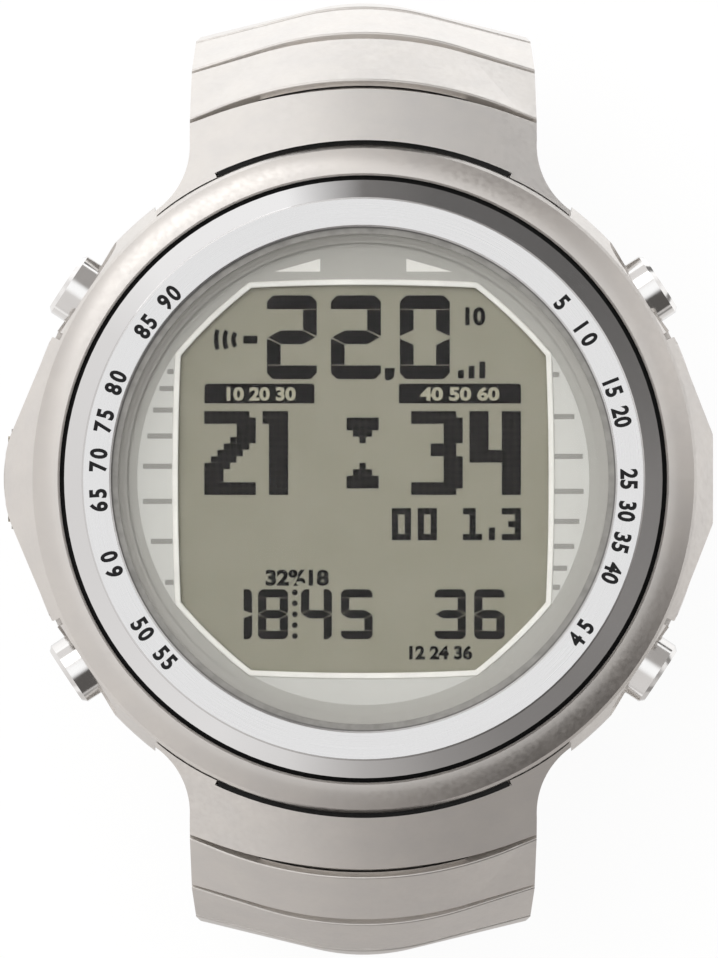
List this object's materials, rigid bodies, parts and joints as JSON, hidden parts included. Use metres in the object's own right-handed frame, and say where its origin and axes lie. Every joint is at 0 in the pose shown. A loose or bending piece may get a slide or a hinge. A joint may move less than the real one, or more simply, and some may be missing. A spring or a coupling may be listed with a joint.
{
  "type": "wrist dive computer",
  "caption": "Round metal wrist dive computer with a large display, side pushers and a hinged metal bracelet closed by a folding clasp.",
  "frame": {"origin": "centre of the flat outer face of the back cover", "axes": "+Z out through the display, +Y to 12 o'clock, +X to 3 o'clock; the bracelet hangs below the back cover"},
  "size_m": [0.0497, 0.0674, 0.0502],
  "materials": {
    "battery_steel": "plated",
    "bezel_metal": "brushed flat with a polished chamfer",
    "black_rubber": "matt black",
    "board_green": "green laminate",
    "clear_seal": "satin",
    "contact_brass": "gold-coloured plate",
    "crystal_glass": "clear",
    "frame_plastic": "black moulded",
    "insulator": "light grey moulded",
    "lcd_glass": "grey-green display",
    "light_plastic": "milky",
    "mask_print": "light grey print",
    "polished_metal": "polished",
    "sensor_steel": "plain steel",
    "steel_pin": "plain steel",
    "titanium": "bead-blasted warm grey metal"
  },
  "bodies": {
    "head": {"case_body": "titanium", "bezel_ring": "bezel_metal", "bezel_gasket": "black_rubber", "crystal": "crystal_glass", "crystal_gasket": "clear_seal", "display_mask": "mask_print", "lcd_panel": "lcd_glass", "light_guide": "light_plastic", "module_frame": "frame_plastic", "circuit_board": "board_green", "side_switches": "frame_plastic", "battery": "battery_steel", "battery_contact": "contact_brass", "buzzer_disc": "contact_brass", "case_back": "polished_metal", "case_back_seal": "black_rubber", "case_back_screws": "steel_pin", "pressure_sensor": "sensor_steel", "sensor_cover": "insulator", "contact_block": "insulator", "contact_pins": "steel_pin", "guide_tubes": "steel_pin", "stem_seals": "black_rubber", "pusher_upper_right_spring": "steel_pin", "pusher_upper_left_spring": "steel_pin", "pusher_lower_left_spring": "steel_pin", "pusher_lower_right_spring": "steel_pin", "upper_end_link": "titanium", "lower_end_link": "titanium", "lug_pins": "steel_pin"},
    "pusher_upper_right": {"pusher_upper_right": "polished_metal", "pusher_upper_right_clip": "steel_pin"},
    "pusher_upper_left": {"pusher_upper_left": "polished_metal", "pusher_upper_left_clip": "steel_pin"},
    "pusher_lower_left": {"pusher_lower_left": "polished_metal", "pusher_lower_left_clip": "steel_pin"},
    "pusher_lower_right": {"pusher_lower_right": "polished_metal", "pusher_lower_right_clip": "steel_pin"},
    "upper_link_1": {"upper_link_1": "titanium"},
    "upper_link_2": {"upper_link_2": "titanium"},
    "upper_link_3": {"upper_link_3": "titanium"},
    "upper_link_4": {"upper_link_4": "titanium"},
    "upper_link_5": {"upper_link_5": "titanium"},
    "upper_link_6": {"upper_link_6": "titanium"},
    "lower_link_1": {"lower_link_1": "titanium"},
    "lower_link_2": {"lower_link_2": "titanium"},
    "lower_link_3": {"lower_link_3": "titanium"},
    "lower_link_4": {"lower_link_4": "titanium"},
    "lower_link_5": {"lower_link_5": "titanium"},
    "lower_link_6": {"lower_link_6": "titanium"},
    "clasp_plate": {"clasp_plate": "polished_metal"},
    "clasp_arm": {"clasp_arm": "polished_metal"},
    "clasp_cover": {"clasp_cover": "titanium"},
    "clasp_button_right": {"clasp_button_right": "polished_metal"},
    "clasp_button_left": {"clasp_button_left": "polished_metal"}
  },
  "joints": [
    {"name": "pusher_upper_right_press", "type": "slide", "parent": "head", "child": "pusher_upper_right", "axis": [-0.8339, -0.5519, 0], "range_m": [0, 0.001], "stiffness_N_per_m": 2000, "springref_m": -0.0006, "deforming": ["pusher_upper_right_spring"]},
    {"name": "pusher_upper_left_press", "type": "slide", "parent": "head", "child": "pusher_upper_left", "axis": [0.8339, -0.5519, 0], "range_m": [0, 0.001], "stiffness_N_per_m": 2000, "springref_m": -0.0006, "deforming": ["pusher_upper_left_spring"]},
    {"name": "pusher_lower_left_press", "type": "slide", "parent": "head", "child": "pusher_lower_left", "axis": [0.8339, 0.5519, 0], "range_m": [0, 0.001], "stiffness_N_per_m": 2000, "springref_m": -0.0006, "deforming": ["pusher_lower_left_spring"]},
    {"name": "pusher_lower_right_press", "type": "slide", "parent": "head", "child": "pusher_lower_right", "axis": [-0.8339, 0.5519, 0], "range_m": [0, 0.001], "stiffness_N_per_m": 2000, "springref_m": -0.0006, "deforming": ["pusher_lower_right_spring"]},
    {"name": "upper_hinge_1", "type": "hinge", "parent": "head", "child": "upper_link_1", "pos_m": [0, 0.0253, 0.00639], "axis": [1, 0, 0], "range_deg": [0, 9]},
    {"name": "upper_hinge_2", "type": "hinge", "parent": "upper_link_1", "child": "upper_link_2", "pos_m": [0, 0.02854, 0.0003], "axis": [1, 0, 0], "range_deg": [0, 9]},
    {"name": "upper_hinge_3", "type": "hinge", "parent": "upper_link_2", "child": "upper_link_3", "pos_m": [0, 0.03044, -0.00633], "axis": [1, 0, 0], "range_deg": [0, 10]},
    {"name": "upper_hinge_4", "type": "hinge", "parent": "upper_link_3", "child": "upper_link_4", "pos_m": [0, 0.0308, -0.01322], "axis": [1, 0, 0], "range_deg": [0, 13]},
    {"name": "upper_hinge_5", "type": "hinge", "parent": "upper_link_4", "child": "upper_link_5", "pos_m": [0, 0.02925, -0.01995], "axis": [1, 0, 0], "range_deg": [0, 14]},
    {"name": "upper_hinge_6", "type": "hinge", "parent": "upper_link_5", "child": "upper_link_6", "pos_m": [0, 0.0258, -0.02592], "axis": [1, 0, 0], "range_deg": [0, 15]},
    {"name": "lower_hinge_1", "type": "hinge", "parent": "head", "child": "lower_link_1", "pos_m": [0, -0.0253, 0.00639], "axis": [-1, 0, 0], "range_deg": [0, 9]},
    {"name": "lower_hinge_2", "type": "hinge", "parent": "lower_link_1", "child": "lower_link_2", "pos_m": [0, -0.02854, 0.0003], "axis": [-1, 0, 0], "range_deg": [0, 9]},
    {"name": "lower_hinge_3", "type": "hinge", "parent": "lower_link_2", "child": "lower_link_3", "pos_m": [0, -0.03044, -0.00633], "axis": [-1, 0, 0], "range_deg": [0, 10]},
    {"name": "lower_hinge_4", "type": "hinge", "parent": "lower_link_3", "child": "lower_link_4", "pos_m": [0, -0.0308, -0.01322], "axis": [-1, 0, 0], "range_deg": [0, 13]},
    {"name": "lower_hinge_5", "type": "hinge", "parent": "lower_link_4", "child": "lower_link_5", "pos_m": [0, -0.02925, -0.01995], "axis": [-1, 0, 0], "range_deg": [0, 14]},
    {"name": "lower_hinge_6", "type": "hinge", "parent": "lower_link_5", "child": "lower_link_6", "pos_m": [0, -0.0258, -0.02592], "axis": [-1, 0, 0], "range_deg": [0, 15]},
    {"name": "clasp_plate_hinge", "type": "hinge", "parent": "lower_link_6", "child": "clasp_plate", "pos_m": [0, -0.02067, -0.03054], "axis": [-1, 0, 0], "range_deg": [0, 30]},
    {"name": "clasp_arm_hinge", "type": "hinge", "parent": "clasp_plate", "child": "clasp_arm", "pos_m": [0, 0.01567, -0.03119], "axis": [1, 0, 0], "range_deg": [0, 110]},
    {"name": "clasp_cover_hinge", "type": "hinge", "parent": "clasp_arm", "child": "clasp_cover", "pos_m": [0, -0.01437, -0.03184], "axis": [-1, 0, 0], "range_deg": [0, 110]},
    {"name": "clasp_button_right_press", "type": "slide", "parent": "clasp_cover", "child": "clasp_button_right", "axis": [-1, 0, 0], "range_m": [0, 0.0008], "stiffness_N_per_m": 1200, "springref_m": -0.0005},
    {"name": "clasp_button_left_press", "type": "slide", "parent": "clasp_cover", "child": "clasp_button_left", "axis": [1, 0, 0], "range_m": [0, 0.0008], "stiffness_N_per_m": 1200, "springref_m": -0.0005}
  ]
}
